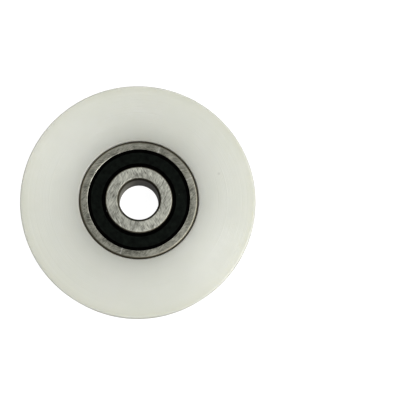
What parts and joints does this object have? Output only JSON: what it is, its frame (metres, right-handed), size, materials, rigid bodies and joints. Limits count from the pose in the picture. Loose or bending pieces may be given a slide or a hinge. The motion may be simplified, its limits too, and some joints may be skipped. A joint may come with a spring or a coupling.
{
  "type": "elevator door roller",
  "caption": "Grooved nylon door roller with a sealed ball bearing pressed into its centre, running on a rail edge in its rim groove.",
  "frame": {"origin": "centre of the wheel, on its axis, midway between its two flat faces", "axes": "+Z along the wheel's axis, out of the face into which the bearing is pressed; the roller lies on its other face"},
  "size_m": [0.059, 0.059, 0.0104],
  "materials": {
    "nylon": "turned natural nylon, slightly translucent",
    "bearing_steel": "ground bearing steel",
    "seal_rubber": "moulded nitrile rubber",
    "core_steel": "stamped sheet steel",
    "cage_steel": "pressed sheet steel",
    "ball_steel": "polished steel"
  },
  "bodies": {
    "wheel": {"wheel": "nylon", "outer_ring": "bearing_steel", "seal_front": "seal_rubber", "seal_front_core": "core_steel", "seal_back": "seal_rubber", "seal_back_core": "core_steel"},
    "inner_ring": {"inner_ring": "bearing_steel"},
    "cage": {"cage_front_half": "cage_steel", "cage_back_half": "cage_steel", "cage_rivets": "cage_steel"},
    "ball_1": {"ball_1": "ball_steel"},
    "ball_2": {"ball_2": "ball_steel"},
    "ball_3": {"ball_3": "ball_steel"},
    "ball_4": {"ball_4": "ball_steel"},
    "ball_5": {"ball_5": "ball_steel"},
    "ball_6": {"ball_6": "ball_steel"},
    "ball_7": {"ball_7": "ball_steel"},
    "ball_8": {"ball_8": "ball_steel"}
  },
  "joints": [
    {"name": "inner_ring_spin", "type": "hinge", "parent": "wheel", "child": "inner_ring", "pos_m": [0, 0, 0.0005], "axis": [0, 0, 1], "continuous": true},
    {"name": "cage_spin", "type": "hinge", "parent": "wheel", "child": "cage", "pos_m": [0, 0, 0.0005], "axis": [0, 0, 1], "continuous": true},
    {"name": "ball_1_roll", "type": "hinge", "parent": "cage", "child": "ball_1", "pos_m": [0.01, 0, 0.0005], "axis": [0, 0, 1], "continuous": true},
    {"name": "ball_2_roll", "type": "hinge", "parent": "cage", "child": "ball_2", "pos_m": [0.00707, 0.00707, 0.0005], "axis": [0, 0, 1], "continuous": true},
    {"name": "ball_3_roll", "type": "hinge", "parent": "cage", "child": "ball_3", "pos_m": [0, 0.01, 0.0005], "axis": [0, 0, 1], "continuous": true},
    {"name": "ball_4_roll", "type": "hinge", "parent": "cage", "child": "ball_4", "pos_m": [-0.00707, 0.00707, 0.0005], "axis": [0, 0, 1], "continuous": true},
    {"name": "ball_5_roll", "type": "hinge", "parent": "cage", "child": "ball_5", "pos_m": [-0.01, 0, 0.0005], "axis": [0, 0, 1], "continuous": true},
    {"name": "ball_6_roll", "type": "hinge", "parent": "cage", "child": "ball_6", "pos_m": [-0.00707, -0.00707, 0.0005], "axis": [0, 0, 1], "continuous": true},
    {"name": "ball_7_roll", "type": "hinge", "parent": "cage", "child": "ball_7", "pos_m": [0, -0.01, 0.0005], "axis": [0, 0, 1], "continuous": true},
    {"name": "ball_8_roll", "type": "hinge", "parent": "cage", "child": "ball_8", "pos_m": [0.00707, -0.00707, 0.0005], "axis": [0, 0, 1], "continuous": true}
  ],
  "couplings": [
    {"joint": "cage_spin", "follows": "inner_ring_spin", "ratio": 0.38094},
    {"joint": "ball_1_roll", "follows": "inner_ring_spin", "ratio": -1.9807},
    {"joint": "ball_2_roll", "follows": "inner_ring_spin", "ratio": -1.9807},
    {"joint": "ball_3_roll", "follows": "inner_ring_spin", "ratio": -1.9807},
    {"joint": "ball_4_roll", "follows": "inner_ring_spin", "ratio": -1.9807},
    {"joint": "ball_5_roll", "follows": "inner_ring_spin", "ratio": -1.9807},
    {"joint": "ball_6_roll", "follows": "inner_ring_spin", "ratio": -1.9807},
    {"joint": "ball_7_roll", "follows": "inner_ring_spin", "ratio": -1.9807},
    {"joint": "ball_8_roll", "follows": "inner_ring_spin", "ratio": -1.9807}
  ]
}
